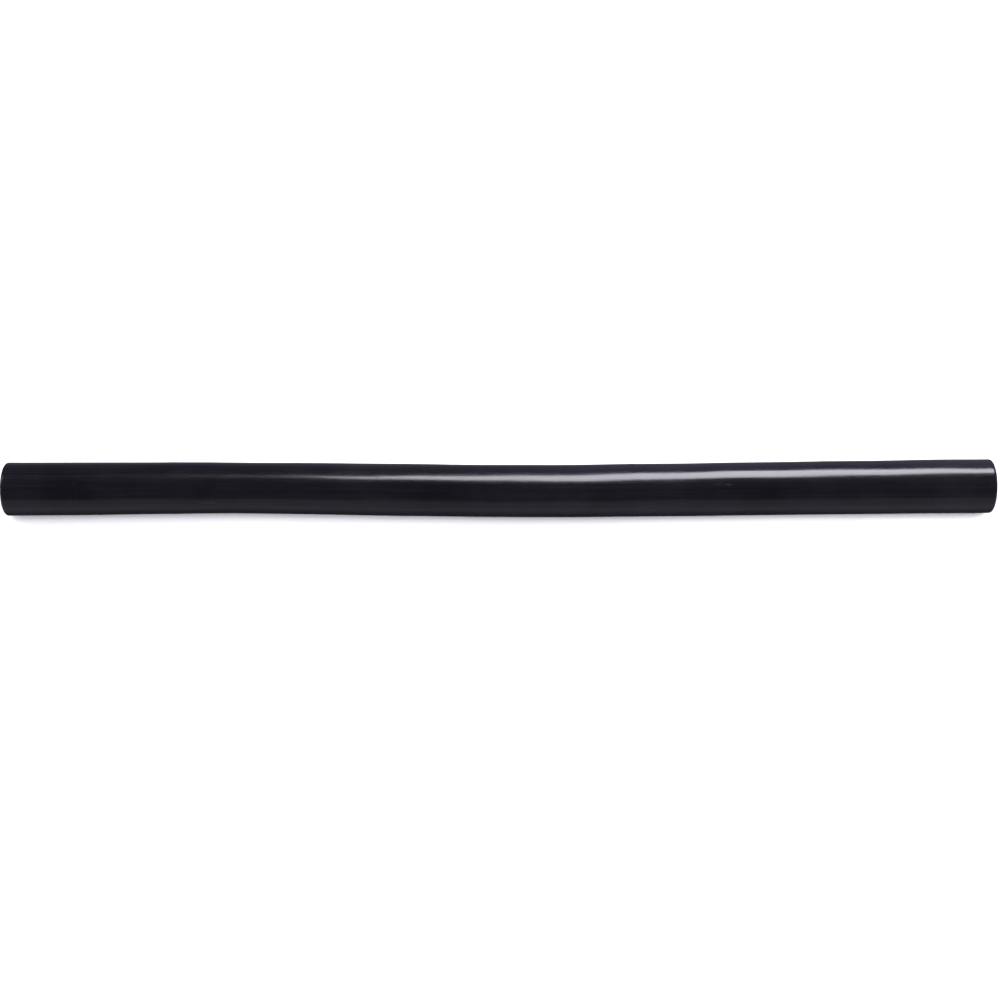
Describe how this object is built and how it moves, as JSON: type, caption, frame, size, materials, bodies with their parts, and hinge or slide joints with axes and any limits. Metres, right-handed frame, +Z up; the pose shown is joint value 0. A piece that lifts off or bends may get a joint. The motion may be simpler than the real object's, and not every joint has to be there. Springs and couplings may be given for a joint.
{
  "type": "devil stick",
  "caption": "Devil stick for juggling: a padded wooden dowel in a smooth black rubber sleeve with turned-in ends, closed by rubber end plugs.",
  "frame": {"origin": "on the stick's axis line, midway between its two flat end faces, close to its balance point", "axes": "+X along the stick to its slightly thicker end, +Z up, -Y the side to which the stick bows as it lies on a table"},
  "size_m": [0.62, 0.036, 0.0338],
  "materials": {
    "sleeve_rubber": "satin",
    "plug_rubber": "matte",
    "plated_steel": "satin",
    "beech": "matte",
    "foam": "matte",
    "tape": "satin"
  },
  "bodies": {
    "root": {"rubber_sleeve": "sleeve_rubber", "left_end_plug": "plug_rubber", "right_end_plug": "plug_rubber", "left_plug_washer": "plated_steel", "right_plug_washer": "plated_steel", "left_plug_screw": "plated_steel", "right_plug_screw": "plated_steel", "core_dowel": "beech", "foam_body": "foam", "left_tape_wrap": "tape", "centre_tape_wrap": "tape", "right_tape_wrap": "tape"}
  },
  "joints": []
}
